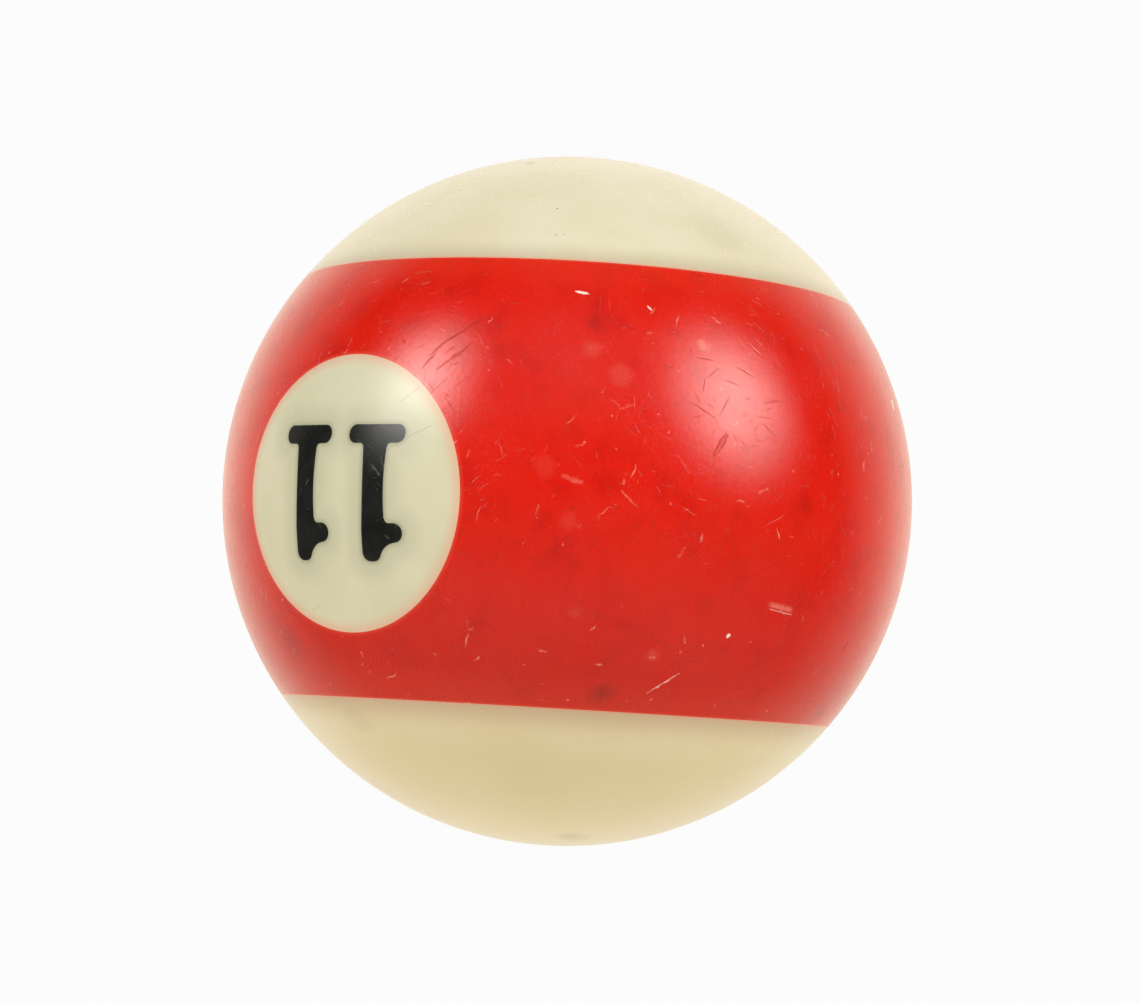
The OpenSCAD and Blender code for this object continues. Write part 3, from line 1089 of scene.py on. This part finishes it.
def placeCamera():
    out = Vector(direction(studio["cameraAzimuth"], studio["cameraElevation"]))
    look = (-out).to_track_quat("-Z", "Y").to_matrix()
    look = look @ Matrix.Rotation(math.radians(studio["cameraRoll"]), 3, "Z")
    right, up = look.col[0], look.col[1]
    aim = right * studio["aimRight"] + up * studio["aimUp"]
    camera = bpy.data.objects.new("camera", bpy.data.cameras.new("camera"))
    camera.data.lens = studio["lens"]
    camera.data.clip_start, camera.data.clip_end = 0.01, 20
    camera.matrix_world = Matrix.Translation((out * studio["cameraDistance"] + aim) * mm) @ look.to_4x4()
    bpy.context.scene.collection.objects.link(camera)
    bpy.context.scene.camera = camera


def hangSoftBoxes():
    for box in softBoxes:
        out = Vector(direction(box["azimuth"], box["elevation"]))
        lamp = bpy.data.lights.new(box["name"], "AREA")
        lamp.shape = "RECTANGLE"
        lamp.size, lamp.size_y = box["wide"] * mm, box["high"] * mm
        lamp.energy = box["radiance"] * math.pi * lamp.size * lamp.size_y
        lamp.color = linear(studio["lamp"])[:3]
        lamp.use_nodes = True
        # the diffuser is brightest at its middle and fades to nothing at its edge
        tree = lamp.node_tree
        across = addNode(tree, "ShaderNodeNewGeometry").outputs["Parametric"]
        fromMiddle = addNode(tree, "ShaderNodeVectorMath", {"operation": "DISTANCE", 1: (0.5, 0.5, 0)},
                             {0: across})
        fade = addNode(tree, "ShaderNodeMapRange",
                       {"interpolation_type": "SMOOTHSTEP", "From Min": 0, "From Max": 0.5,
                        "To Min": 1, "To Max": 0}, {"Value": fromMiddle.outputs["Value"]})
        fade = addNode(tree, "ShaderNodeMath", {"operation": "POWER", 1: studio["lampFade"]}, {0: fade})
        tree.links.new(fade.outputs[0], tree.nodes["Emission"].inputs["Strength"])
        holder = bpy.data.objects.new(box["name"], lamp)
        holder.matrix_world = (Matrix.Translation(out * box["away"] * mm)
                               @ out.to_track_quat("Z", "Y").to_matrix().to_4x4())
        holder.visible_camera = False
        holder.visible_glossy = box["shines"]
        bpy.context.scene.collection.objects.link(holder)


def lightRoom():
    # white paper behind the ball, a dimmer room in front of it, and the same clean white in every view
    world = bpy.data.worlds.new("studio")
    bpy.context.scene.world = world
    world.use_nodes = True
    tree = world.node_tree
    tree.nodes.clear()
    way = addNode(tree, "ShaderNodeTexCoord").outputs["Generated"]
    back = list(-direction(studio["cameraAzimuth"], studio["cameraElevation"]))
    behind = addNode(tree, "ShaderNodeVectorMath", {"operation": "DOT_PRODUCT", 1: back}, {0: way})
    (near, far), (low, high), (level, deep) = [studio[key] for key in ("roomSpan", "lowSpan", "tableSpan")]
    sides = addNode(tree, "ShaderNodeMapRange",
                    {"From Min": near, "From Max": far, "To Min": studio["inFront"],
                     "To Max": studio["behind"]}, {"Value": behind.outputs["Value"]})
    height = addNode(tree, "ShaderNodeSeparateXYZ", None, {0: way}).outputs[2]
    upward = addNode(tree, "ShaderNodeMapRange",
                     {"From Min": low, "From Max": high, "To Min": studio["lowShare"]}, {"Value": height})
    table = addNode(tree, "ShaderNodeMapRange",
                    {"From Min": level, "From Max": deep, "To Max": studio["table"]}, {"Value": height})
    seen = addNode(tree, "ShaderNodeMath", {"operation": "MULTIPLY_ADD"}, {0: sides, 1: upward, 2: table})
    fill = addNode(tree, "ShaderNodeBackground", {"Color": linear(studio["room"])}, {"Strength": seen})
    paper = addNode(tree, "ShaderNodeBackground", {"Color": linear("#FFFFFF"), "Strength": studio["paper"]})
    cameraSees(tree, paper, fill, "ShaderNodeOutputWorld")


def layFloor():
    # back-lit white acrylic under the ball: the camera sees it as clean as the paper
    size, height = studio["floorSize"], cadLow.z - studio["floorGap"] * mm
    mesh = bpy.data.meshes.new("floor")
    corners = [(-size, -size), (size, -size), (size, size), (-size, size)]
    mesh.from_pydata([(x, y, height) for x, y in corners], [], [(0, 1, 2, 3)])
    floor = bpy.data.objects.new("floor", mesh)
    bpy.context.scene.collection.objects.link(floor)
    floor.visible_glossy = False   # the ball's own shade keeps the floor from shining in its underside
    material = bpy.data.materials.new("back-lit white acrylic")
    material.use_nodes = True
    tree = material.node_tree
    tree.nodes.clear()
    paper = addNode(tree, "ShaderNodeEmission", {"Strength": studio["paper"]})
    glow = addNode(tree, "ShaderNodeEmission",
                   {"Color": linear(studio["floor"]), "Strength": studio["floorGlow"]})
    cameraSees(tree, paper, glow, "ShaderNodeOutputMaterial")
    mesh.materials.append(material)


# build

addStrayNicks()
addHairCuts()
bandPiece = makeBand()
bodyPiece = makeBody()
discPieces = [
    makeDisc(frontSide, "numberDiscFront", "number_disc_front"),
    makeDisc(backSide, "numberDiscBack", "number_disc_back"),
]
figurePieces = [
    makeFigure(frontSide, -1, "numeralFrontLeft", "numeral_front_left"),
    makeFigure(frontSide, 1, "numeralFrontRight", "numeral_front_right"),
    makeFigure(backSide, -1, "numeralBackLeft", "numeral_back_left"),
    makeFigure(backSide, 1, "numeralBackRight", "numeral_back_right"),
]
print("pieces made")

bandPiece.data.materials.append(redResin())
bodyPiece.data.materials.append(creamResin())
discMaterial, blackMaterial = discResin(), blackResin()
for piece in discPieces:
    piece.data.materials.append(discMaterial)
for piece in figurePieces:
    piece.data.materials.append(blackMaterial)
print("materials made")

bpy.context.scene.view_settings.view_transform = "Standard"   # shows colours as they are, with no film curve
placeCamera()
hangSoftBoxes()
lightRoom()
layFloor()
print("studio made")
